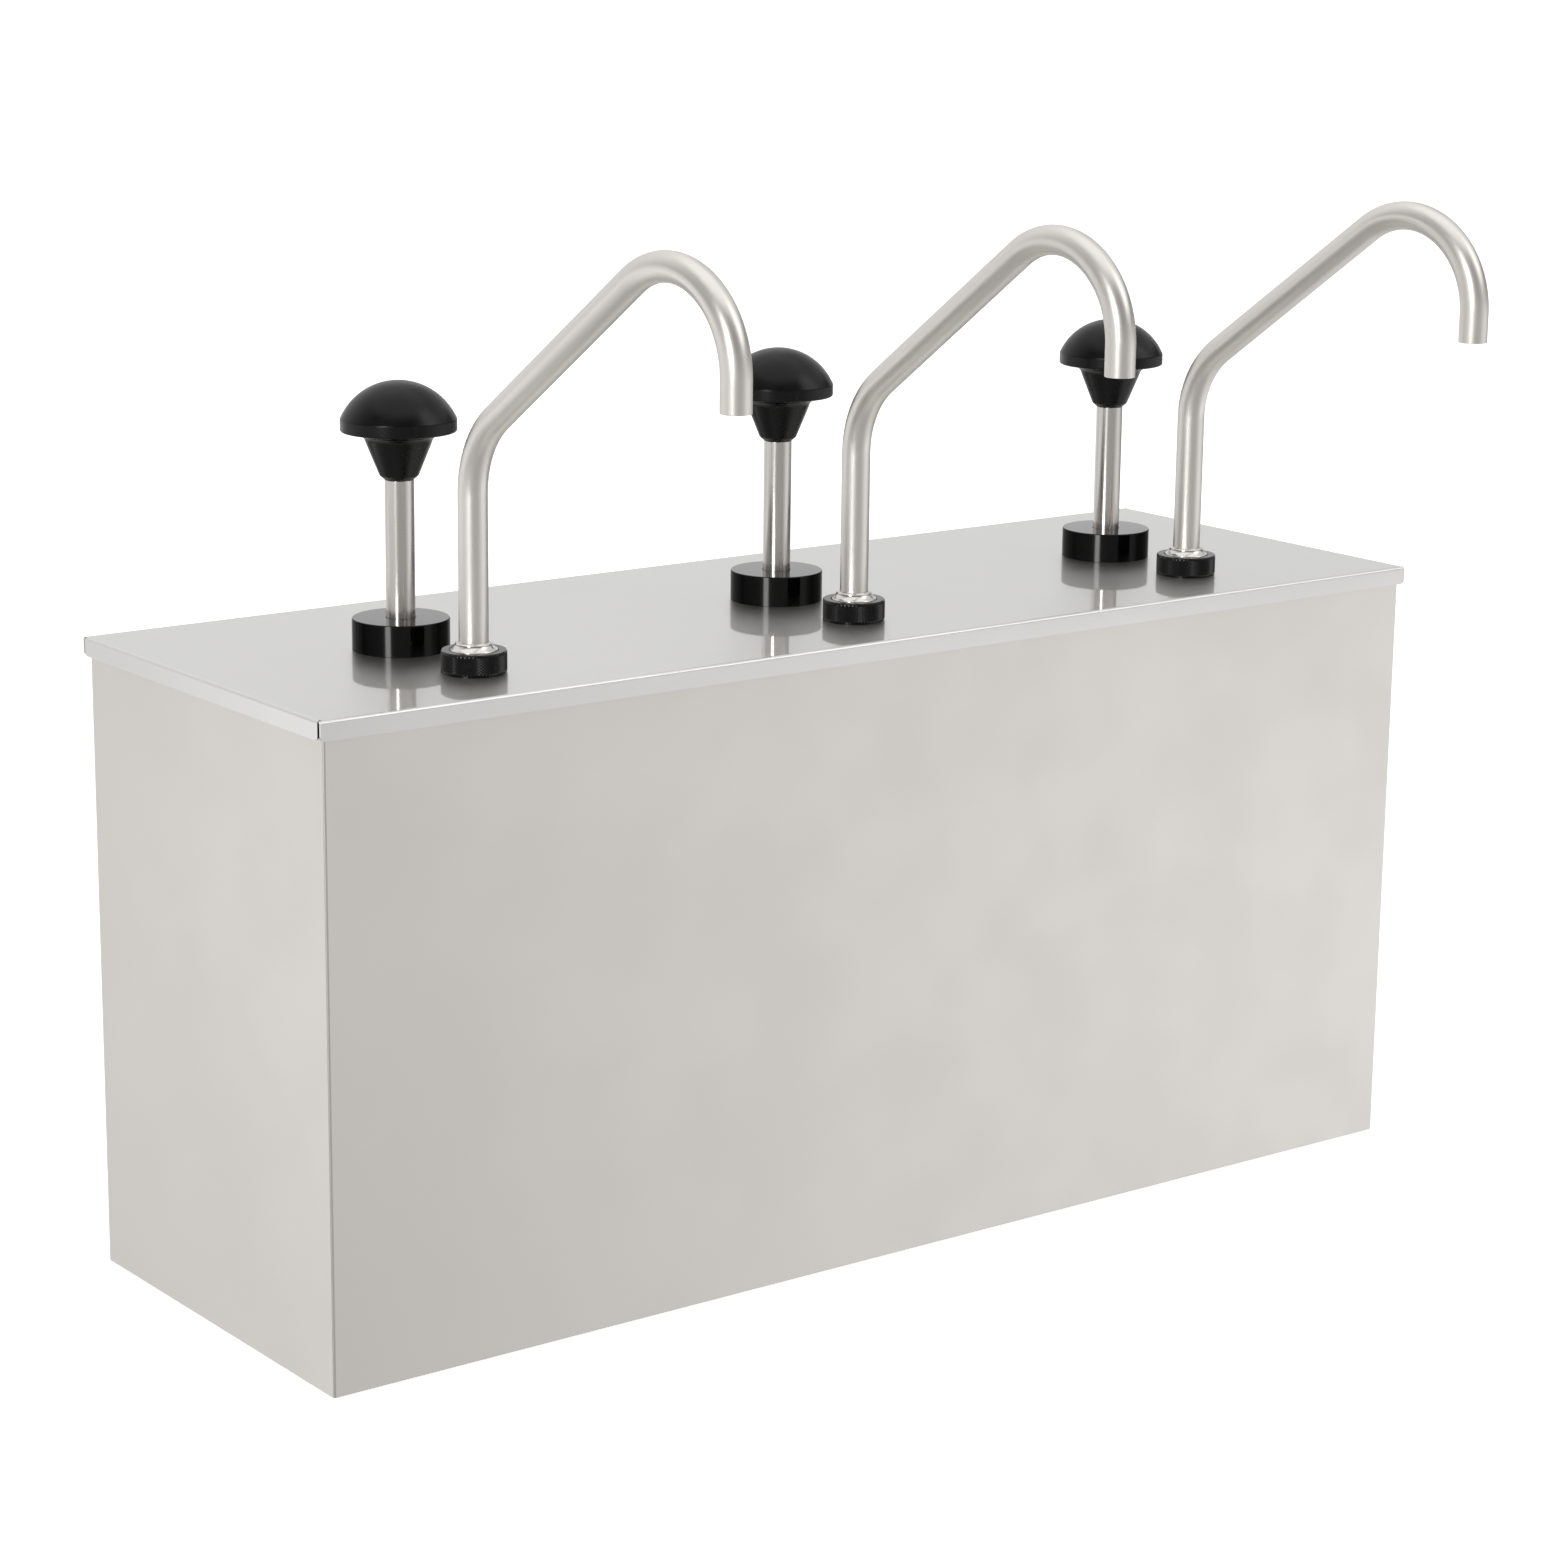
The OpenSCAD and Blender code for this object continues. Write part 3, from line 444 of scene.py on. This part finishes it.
def container_pan():
    """Deep-drawn pan: turned-down lip, flat rim, stacking shoulder, sloping walls, round floor."""
    bm = bmesh.new()
    half_x, half_y = PAN_X / 2, PAN_Y / 2
    # (inset, drop) from the lip's foot over the rim and down into the mouth
    lip = [(0.0, PAN_LIP), (0.0, 1.4), (0.12, 0.8), (0.45, 0.35), (0.9, 0.1), (1.5, 0.0)]
    mouth = [(PAN_RIM_W + inset, drop) for inset, drop in ((-1.2, 0.0), (-0.5, 0.15), (0.15, 0.6),
        (0.6, 1.3), (PAN_T + 0.05, 2.3))]
    loops = [round_loop(bm, half_x - inset, half_y - inset, PAN_CORNER_R - inset,
        PAN_RIM_Z - drop) for inset, drop in lip + mouth]
    mouth_x, mouth_y = half_x - PAN_RIM_W - PAN_T, half_y - PAN_RIM_W - PAN_T
    mouth_corner_r = PAN_CORNER_R - PAN_RIM_W - PAN_T
    turn_z, floor_r = PAN_FLOOR_Z + PAN_FLOOR_R, PAN_FLOOR_R - PAN_T
    # share of the wall's lean, step inwards at the stacking shoulder, height, share of the
    # floor's rounding
    wall = []
    for step_in, z in ((0.0, 248.0), (0.25, 246.6), (1.0, 245.4), (1.35, 244.2), (1.4, 242.0),
            (1.4, 180.0), (1.4, 120.0), (1.2, 90.0), (1.0, turn_z)):
        wall.append(((PAN_RIM_Z - z) / (PAN_RIM_Z - turn_z), step_in, z, 0.0))
    for degrees in (15, 30, 45, 60, 75, 88):
        fall = math.radians(degrees)
        wall.append((1.0, 1.0, turn_z - floor_r * math.sin(fall), 1 - math.cos(fall)))
    for share, step_in, z, inward in wall:
        inset = PAN_LEAN * share + step_in + floor_r * inward
        radius = mouth_corner_r * (1 - share) + floor_r * share - step_in
        loops.append(round_loop(bm, mouth_x - inset, mouth_y - inset,
            max(radius - floor_r * inward, 0.4), z))
    for a, b in zip(loops, loops[1:]):
        bmesh.ops.bridge_loops(bm, edges=a + b)
    bmesh.ops.contextual_create(bm, geom=loops[-1])
    bmesh.ops.recalc_face_normals(bm, faces=bm.faces)
    floor = min(bm.faces, key=lambda f: f.calc_center_median().z)
    if floor.normal.z < 0:
        bmesh.ops.reverse_faces(bm, faces=bm.faces)
    bmesh.ops.solidify(bm, geom=bm.faces[:], thickness=PAN_T)
    bmesh.ops.recalc_face_normals(bm, faces=bm.faces)
    return bm


for i in PUMPS:
    bm = container_pan()
    move(bm, pump_x(i), 0)
    finish_piece(f"container_pan_{i}", bm, "housing", "plain_stainless", f"container_{i}",
        sharp=40.0)


# ---------------------------------------------------------------- lid
def lid_fold(bm, length, reach):
    """One folded edge at the front: quarter bend, and skirt with round lower corners."""
    ends = [bm.verts.new((sx * length / 2, -reach + LID_BEND_R, LID_TOP)) for sx in (-1, 1)]
    edge = bm.edges.new(ends)
    bend = bmesh.ops.spin(bm, geom=ends + [edge], cent=(0, -reach + LID_BEND_R,
        LID_TOP - LID_BEND_R), axis=(1, 0, 0), angle=math.radians(90), steps=8)["geom_last"]
    low = verts_of(bmesh.ops.extrude_edge_only(bm, edges=edges_of(bend))["geom"])
    bmesh.ops.translate(bm, vec=(0, 0, -(SKIRT - LID_BEND_R)), verts=low)
    rounding(bm, low, SKIRT_CORNER_R, 6)


def lid_sheet():
    """Flat top with six holes and a folded skirt on each side, from one sheet."""
    bm = bmesh.new()
    flat_x, flat_y = LID_X - LID_BEND_R, LID_Y - LID_BEND_R
    # each fold is made at the front and turned to its side
    for quarter in range(4):
        before = set(bm.verts)
        across = quarter % 2 == 0
        if across:
            lid_fold(bm, 2 * LID_X, LID_Y)
        else:
            lid_fold(bm, 2 * (flat_y - FRONT_SLOT), LID_X)
        fresh = [v for v in bm.verts if v not in before]
        bmesh.ops.rotate(bm, cent=(0, 0, 0), matrix=Matrix.Rotation(math.radians(90 * quarter),
            3, "Z"), verts=fresh)
        if not across:
            # the side flanges reach the rear skirt: only the front corners are open
            bmesh.ops.translate(bm, vec=(0, FRONT_SLOT - REAR_SLOT, 0),
                verts=[v for v in fresh if v.co.y > 0])
    # the flat top with its six holes
    rim = [bm.verts.new((x, y, LID_TOP)) for x, y in (
        (-flat_x, -flat_y), (flat_x, -flat_y), (flat_x, -flat_y + FRONT_SLOT),
        (flat_x, flat_y - REAR_SLOT), (flat_x, flat_y), (-flat_x, flat_y),
        (-flat_x, flat_y - REAR_SLOT), (-flat_x, -flat_y + FRONT_SLOT))]
    border = [bm.edges.new(pair) for pair in zip(rim, rim[1:] + rim[:1])]
    for i in PUMPS:
        for y, radius in LID_HOLES:
            border += circle(bm, radius, 64, Matrix.Translation((pump_x(i), y, LID_TOP)))[1]
    bmesh.ops.triangle_fill(bm, edges=border, use_beauty=True, normal=(0, 0, 1))
    bmesh.ops.remove_doubles(bm, verts=bm.verts, dist=0.001)
    bmesh.ops.recalc_face_normals(bm, faces=bm.faces)
    top = max(bm.faces, key=lambda f: f.calc_area())
    if top.normal.z < 0:
        bmesh.ops.reverse_faces(bm, faces=bm.faces)
    bmesh.ops.solidify(bm, geom=bm.faces[:], thickness=SHEET)
    bmesh.ops.recalc_face_normals(bm, faces=bm.faces)
    # the side flanges' front ends, inside the front slots, take a near-black material: painted
    # shade for the dark gap of each slot
    narrow = 2.5 * SKIRT * SHEET
    for face in bm.faces:
        middle = face.calc_center_median()
        if (abs(face.normal.y) > 0.9 and abs(middle.x) > flat_x and -flat_y < middle.y < 0
                and face.calc_area() < narrow):
            face.material_index = 1
    return bm


lid = finish_piece("lid_sheet", lid_sheet(), "lid_unit", "lid_stainless", "lid")
# second slot: the near-black painted shade for the front slots' flange ends
lid.data.materials.append(MATERIALS["painted_slot_shade"])


# ---------------------------------------------------------------- pumps above the lid
def collar():
    """Cap that clamps the pump to the lid: thick wall, thin top with a hole for the rod."""
    return turned([(COLLAR_BORE_R, LID_TOP), (COLLAR_R, LID_TOP, 0.1),
        (COLLAR_R, COLLAR_TOP, 0.5), (ROD_HOLE_R, COLLAR_TOP, 0.2),
        (ROD_HOLE_R, COLLAR_TOP - COLLAR_TOP_T), (COLLAR_BORE_R, COLLAR_TOP - COLLAR_TOP_T)])


def arc_on(bm, vertex, centre, degrees, steps):
    """Carries an outline on from a vertex, round a centre in the XZ plane."""
    made = bmesh.ops.spin(bm, geom=[vertex], cent=(centre[0], 0, centre[1]), axis=(0, 1, 0),
        angle=math.radians(degrees), steps=steps)
    return verts_of(made["geom_last"])[0]


def line_on(bm, vertex, r, z):
    """Carries an outline on from a vertex, straight to a radius and height."""
    fresh = bm.verts.new((r, 0, z))
    bm.edges.new((vertex, fresh))
    return fresh


def knob():
    """Domed grip on a cone, turned from one outline: foot, cone, flare, rim, band, dome."""
    bm = bmesh.new()
    bore_r, bore_end = STUD_R + 0.1, STUD_L + 0.5
    cone_r, cone_top = 13.3, 14.9
    rim_r, rim_z, band_top = 23.6, 20.4, 24.3
    dome_r, shoulder_r, top = 25.7, 23.4, 40.1
    dome_z = top - dome_r
    start = bm.verts.new((bore_r, 0, 0))
    pen = start
    for r, z in ((5.9, 0), (6.1, 0.15), (7.75, 1.5), (8.05, 1.95), (cone_r, cone_top)):
        pen = line_on(bm, pen, r, z)
    for out, up in ((0.25, 0.9), (0.7, 1.75), (1.4, 2.5), (2.3, 3.1), (3.3, 3.5), (4.3, 3.75)):
        pen = line_on(bm, pen, cone_r + out, cone_top + up)
    pen = line_on(bm, pen, rim_r - 0.6, rim_z - 0.77)
    pen = arc_on(bm, pen, (rim_r - 0.8, rim_z), -75, 6)
    for inset, up in ((0, 0), (0.03, 0.3), (0.1, 0.6)):
        pen = line_on(bm, pen, rim_r - inset, band_top + up)
    pen = line_on(bm, pen, shoulder_r, dome_z + math.sqrt(dome_r ** 2 - shoulder_r ** 2))
    sweep = math.degrees(math.asin(shoulder_r / dome_r))
    arc_on(bm, pen, (0, dome_z), -sweep, 28)
    line_on(bm, start, bore_r, bore_end)
    turn(bm)
    return bm


def knurled_nut():
    """Nut with a diamond knurl: every second point of each ring stands out."""
    bm = bmesh.new()
    edge_h = 0.6
    low, high = LID_TOP + edge_h, NUT_TOP - edge_h
    valley_r = NUT_R - KNURL_DEPTH
    edges = circle(bm, valley_r, 2 * KNURL_TEETH, Matrix.Translation((0, 0, low)))[1]
    row = (high - low) / KNURL_ROWS
    for _ in range(KNURL_ROWS):
        made = bmesh.ops.extrude_edge_only(bm, edges=edges)["geom"]
        bmesh.ops.translate(bm, vec=(0, 0, row), verts=verts_of(made))
        edges = open_edges(made)
    odd = {}
    for v in bm.verts:
        j = round(math.atan2(v.co.y, v.co.x) / (math.pi / KNURL_TEETH)) % (2 * KNURL_TEETH)
        k = round((v.co.z - low) / row)
        odd[v] = (j + k) % 2
    peaks = [v for v in bm.verts if odd[v] and low + 0.1 < v.co.z < high - 0.1]
    bmesh.ops.scale(bm, vec=(NUT_R / valley_r, NUT_R / valley_r, 1), verts=peaks)
    for face in list(bm.faces):
        bmesh.ops.connect_verts(bm, verts=[v for v in face.verts if not odd[v]])
    # below and above the knurl: rounded edge, then the bore and the lip over the spout's foot
    rims = {}
    for e in bm.edges:
        if len(e.link_faces) == 1:
            rims.setdefault(round(e.verts[0].co.z, 2), []).append(e)
    for z, points in ((low, [(12.95, -0.02), (13.2, -0.15), (13.2, -0.35), (12.95, -edge_h),
            (11.5, -edge_h), (11.5, 6.0), (9.9, 6.0)]),
            (high, [(12.95, 0.02), (13.2, 0.12), (13.2, 0.2), (12.8, edge_h), (10.0, edge_h),
                (9.85, 0.45), (9.85, -2.7)])):
        edges = rims[round(z, 2)]
        for r, dz in points:
            made = bmesh.ops.extrude_edge_only(bm, edges=edges)["geom"]
            edges = open_edges(made)
            for v in verts_of(made):
                flat = Vector((v.co.x, v.co.y)).normalized() * r
                v.co = (flat.x, flat.y, z + dz)
    bmesh.ops.remove_doubles(bm, verts=bm.verts, dist=0.02)
    bmesh.ops.recalc_face_normals(bm, faces=bm.faces)
    return bm


def ferrule():
    """Polished foot of the spout: flange under the nut's lip, concave flare, bead at the tube."""
    return turned([(6.05, SEAL_TOP), (11.2, SEAL_TOP, 0.2), (11.2, 278.55, 0.2), (9.6, 278.55),
        (9.6, 281.2, 0.25), (8.6, 281.75), (7.9, 282.5), (7.55, 283.1), (7.6, 283.3),
        (7.55, 283.75), (7.2, 284.05), (6.8, 284.1), (6.55, 284.3), (6.05, 284.3)])


def plunger_rod():
    """Rod from the piston to the knob, with the stud that the knob is screwed on."""
    return turned([(0, ROD_END), (ROD_R, ROD_END, 0.4), (ROD_R, KNOB_Z, 0.2), (STUD_R, KNOB_Z),
        (STUD_R, KNOB_Z + STUD_L, 0.4), (0, KNOB_Z + STUD_L)], closed=False)


def tube_wall(bm, radius, legs):
    """A round wall in the YZ plane, from SEAL_TOP up: each leg is a straight length, then the
    radius and degrees of a bend to the front, if it has one. Returns the edges of both ends."""
    first = circle(bm, radius, TUBE_SEGMENTS, Matrix.Translation((0, 0, SEAL_TOP)))[1]
    edges = first
    place = Vector((0, 0, SEAL_TOP))
    angle = 0.0
    for length, *bend in legs:
        ahead = Vector((0, -math.sin(angle), math.cos(angle)))
        made = bmesh.ops.extrude_edge_only(bm, edges=edges)["geom"]
        bmesh.ops.translate(bm, vec=ahead * length, verts=verts_of(made))
        edges = open_edges(made)
        place = place + ahead * length
        if bend:
            bend_r, degrees = bend
            centre = place + Vector((0, -math.cos(angle), -math.sin(angle))) * bend_r
            verts = list(dict.fromkeys(v for e in edges for v in e.verts))
            made = bmesh.ops.spin(bm, geom=verts + edges, cent=centre, axis=(1, 0, 0),
                angle=math.radians(degrees), steps=round(degrees / TUBE_BEND_STEP))
            edges = open_edges(made["geom_last"])
            turned_by = Matrix.Rotation(math.radians(degrees), 3, "X")
            place = centre + turned_by @ (place - centre)
            angle += math.radians(degrees)
    return first, edges


def spout(i):
    """Bent tube: outer and inner wall, joined at both ends, with the ends' edges broken."""
    bm = bmesh.new()
    legs = ((LID_TOP + SPOUT_RISE - SEAL_TOP, FIRST_BEND_R, FIRST_BEND),
        (SPOUT_SLOPE, SECOND_BEND_R, SECOND_BEND), (SPOUT_END,))
    ends = []
    for outer, inner in zip(tube_wall(bm, TUBE_R, legs), tube_wall(bm, TUBE_BORE_R, legs)):
        bmesh.ops.bridge_loops(bm, edges=outer + inner)
        ends += outer + inner
    rounding(bm, ends, TUBE_EDGE_R, 2, affect="EDGES")
    bmesh.ops.recalc_face_normals(bm, faces=bm.faces)
    bmesh.ops.rotate(bm, cent=(0, 0, 0), verts=bm.verts,
        matrix=Matrix.Rotation(math.radians(AIMS[i - 1]), 3, "Z"))
    return bm


def return_spring(low, high):
    """Compression spring, wound as one wire, with a closed turn at each end."""
    bm = bmesh.new()
    ring, first = circle(bm, WIRE_R, WIRE_SEGMENTS,
        Matrix.Translation((SPRING_R, 0, low + WIRE_R))
        @ Matrix.Rotation(math.radians(90), 4, "X"))
    coil = ring + first
    rise = high - low - 2 * WIRE_R - 2 * CLOSED_PITCH
    for turns, climb in ((1, CLOSED_PITCH), (SPRING_TURNS - 2, rise), (1, CLOSED_PITCH)):
        steps = COIL_STEPS * turns
        coil = bmesh.ops.spin(bm, geom=coil, cent=(0, 0, 0), axis=(0, 0, 1),
            dvec=(0, 0, climb / steps), angle=math.tau * turns, steps=steps)["geom_last"]
    for end in (first, edges_of(coil)):
        bmesh.ops.contextual_create(bm, geom=end)
    bmesh.ops.recalc_face_normals(bm, faces=bm.faces)
    return bm


for i in PUMPS:
    low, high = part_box(f"return_spring_{i}")
    bm = return_spring(low[2] / MM, high[2] / MM)
    move(bm, pump_x(i), PLUNGER_Y)
    spring = finish_piece(f"spring_coil_{i}", bm, "lid_unit", "polished_steel",
        f"return_spring_{i}")
    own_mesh(spring)
    for name, make, body, slot, y, node in (
            ("collar_ring", collar, "lid_unit", "black_gloss", PLUNGER_Y, "collar"),
            ("domed_knob", knob, "plunger", "black_satin", PLUNGER_Y, "knob"),
            ("rod", plunger_rod, "plunger", "tube_stainless", PLUNGER_Y, "plunger_rod"),
            ("nut", knurled_nut, "nut", "black_nut", SPOUT_Y, "knurled_nut"),
            ("spout_foot", ferrule, "spout_unit", "polished_steel", SPOUT_Y, "ferrule")):
        bm = make()
        move(bm, pump_x(i), y, KNOB_Z if node == "knob" else 0.0)
        rides_on = body if body == "lid_unit" else f"{body}_{i}"
        # the rods take the darker copy of the tube steel: painted shade
        finish_piece(f"{name}_{i}", bm, rides_on, slot, f"{node}_{i}",
            material="rod_stainless_painted_shade" if name == "rod" else None)
    bm = spout(i)
    move(bm, pump_x(i), SPOUT_Y)
    finish_piece(f"spout_tube_{i}", bm, f"spout_unit_{i}", "tube_stainless", f"spout_{i}")


# ---------------------------------------------------------------- CAD nodes that stay
for part in frame["record"]["subparts"]:
    kept = frame["nodes"][part["node"]]
    kept.data.materials.clear()
    kept.data.materials.append(MATERIALS[part["material_slot"]])


# ---------------------------------------------------------------- studio
def studio():
    """White table and white wall behind, a dark room on the camera's side, two soft boxes."""
    world = bpy.data.worlds.new("studio")
    bpy.context.scene.world = world
    tree = bare_tree(world)
    where = add(tree, "ShaderNodeTexCoord").outputs["Generated"]
    height = add(tree, "ShaderNodeSeparateXYZ", {0: where}).outputs["Z"]
    front, right = [add(tree, "ShaderNodeVectorMath", {0: where, 1: direction},
        operation="DOT_PRODUCT").outputs["Value"]
        for direction in ((-0.603, -0.798, 0), (0.798, -0.603, 0))]
    angle = math_node(tree, "ARCTAN2", right, front)
    share = ranged(tree, angle, -math.pi, math.pi)
    room_most, strip_most = 4.0, 30.0

    def round_room(ring):
        """Brightness of one ring by direction."""
        return ramp(tree, share, [((degrees + 180) / 360, level / room_most)
            for degrees, level in ring])

    # (degrees, brightness) round the room: 0 is the photograph's side, 90 to its right,
    # 180 behind the dispenser
    foot = ((-180, 0.7), (-128, 0.3), (-116, 0.35), (-112, 1.3), (-103, 1.4), (-90, 1.0),
        (-76, 0.55), (20, 0.45), (50, 0.5), (60, 0.58), (67, 0.68), (73, 0.8), (83, 0.95),
        (100, 0.95), (140, 0.8), (180, 0.7))
    floor = ((-180, 0.85), (-128, 0.72), (-116, 0.72), (-112, 1.6), (-103, 1.55), (-94, 0.9),
        (-84, 0.52), (20, 0.45), (50, 0.5), (60, 0.62), (67, 0.84), (73, 1.18), (83, 1.46),
        (100, 1.4), (140, 0.9), (180, 0.85))
    waist = ((-180, 1.05), (-126, 1.05), (-119, 0.9), (-113, 0.74), (-104, 0.74), (-97, 1.1),
        (-24, 1.1), (-15, 0.66), (-4, 0.55), (40, 0.55), (56, 0.66), (66, 0.84), (76, 0.86),
        (84, 0.98), (96, 0.98), (108, 0.7), (125, 0.6), (138, 0.3), (160, 0.3), (172, 0.8),
        (180, 1.05))
    band = ((-180, 0.76), (-152, 0.76), (-128, 0.9), (-104, 0.9), (-96, 0.3), (-60, 0.3),
        (55, 0.3), (66, 0.55), (76, 0.65), (86, 0.15), (140, 0.15), (152, 0.76), (180, 0.76))
    high = ((-180, 0.95), (-165, 0.92), (-130, 0.93), (-112, 0.95), (-90, 0.7), (-60, 0.3),
        (0, 0.2), (50, 0.25), (64, 0.8), (68, 2.4), (80, 2.3), (88, 2.1), (97, 1.6),
        (106, 0.9), (142, 0.72), (164, 0.62), (180, 0.95))
    # each ring takes over from the one below it between two heights, sines of the elevation
    sides = round_room(foot)
    for ring, start, end in ((floor, -0.42, -0.24), (waist, -0.203, -0.178), (band, 0.0, 0.12),
            (high, 0.29, 0.41)):
        sides = tinted(tree, ranged(tree, height, start, end, smooth=True), sides,
            round_room(ring))
    ceiling = ranged(tree, height, 0.76, 0.86, smooth=True)
    sides = tinted(tree, ceiling, sides, (0.3, 0.3, 0.3, 1))
    # narrow soft box that draws the bright lines on tubes and rods
    strip_left = ranged(tree, angle, math.radians(-34), math.radians(-29), smooth=True)
    strip_right = ranged(tree, angle, math.radians(-17), math.radians(-22), smooth=True)
    strip_rise = ramp(tree, ranged(tree, height, -1.0, 1.0), [(0.5 + z / 2, level / strip_most)
        for z, level in ((-0.2, 0), (-0.17, 0.45), (-0.02, 0.5), (0.08, 11), (0.32, 11),
            (0.5, 4), (0.6, 0))])
    strip = math_node(tree, "MULTIPLY", math_node(tree, "MULTIPLY", strip_left, strip_right),
        strip_rise)
    room = add(tree, "ShaderNodeVectorMath", {0: sides, "Scale": room_most},
        operation="SCALE").outputs[0]
    lit = math_node(tree, "MULTIPLY", strip, strip_most)
    total = add(tree, "ShaderNodeVectorMath", {0: room, 1: lit}, operation="ADD").outputs[0]
    studio_light = add(tree, "ShaderNodeBackground", {"Color": total, "Strength": 1.0})
    plain = add(tree, "ShaderNodeBackground", {"Color": (1, 1, 1, 1), "Strength": 1.0})
    path = add(tree, "ShaderNodeLightPath")
    mix = add(tree, "ShaderNodeMixShader", {0: path.outputs["Is Camera Ray"],
        1: studio_light.outputs[0], 2: plain.outputs[0]})
    end = add(tree, "ShaderNodeOutputWorld")
    tree.links.new(mix.outputs[0], end.inputs["Surface"])


def table():
    """Plain pale floor; a little of its white is its own, so that it keeps a soft shadow."""
    reach, below, glow_share = 12.0, 0.0005, 0.62
    bm = bmesh.new()
    bmesh.ops.create_grid(bm, x_segments=1, y_segments=1, size=reach)
    mesh = bpy.data.meshes.new("table")
    bm.to_mesh(mesh)
    bm.free()
    floor = bpy.data.objects.new("table", mesh)
    floor.location.z = -below
    bpy.context.scene.collection.objects.link(floor)
    material = bpy.data.materials.new("table_white")
    tree = bare_tree(material)
    matt = add(tree, "ShaderNodeBsdfDiffuse", {"Color": (0.85, 0.85, 0.85, 1)})
    path = add(tree, "ShaderNodeLightPath")
    glow = add(tree, "ShaderNodeEmission", {"Color": (1, 1, 1, 1),
        "Strength": math_node(tree, "MULTIPLY", path.outputs["Is Camera Ray"], glow_share)})
    both = add(tree, "ShaderNodeAddShader", {0: matt.outputs[0], 1: glow.outputs[0]})
    end = add(tree, "ShaderNodeOutputMaterial")
    tree.links.new(both.outputs[0], end.inputs["Surface"])
    mesh.materials.append(material)
    floor.visible_glossy = False


studio()
table()
bpy.context.scene.view_settings.view_transform = "Standard"
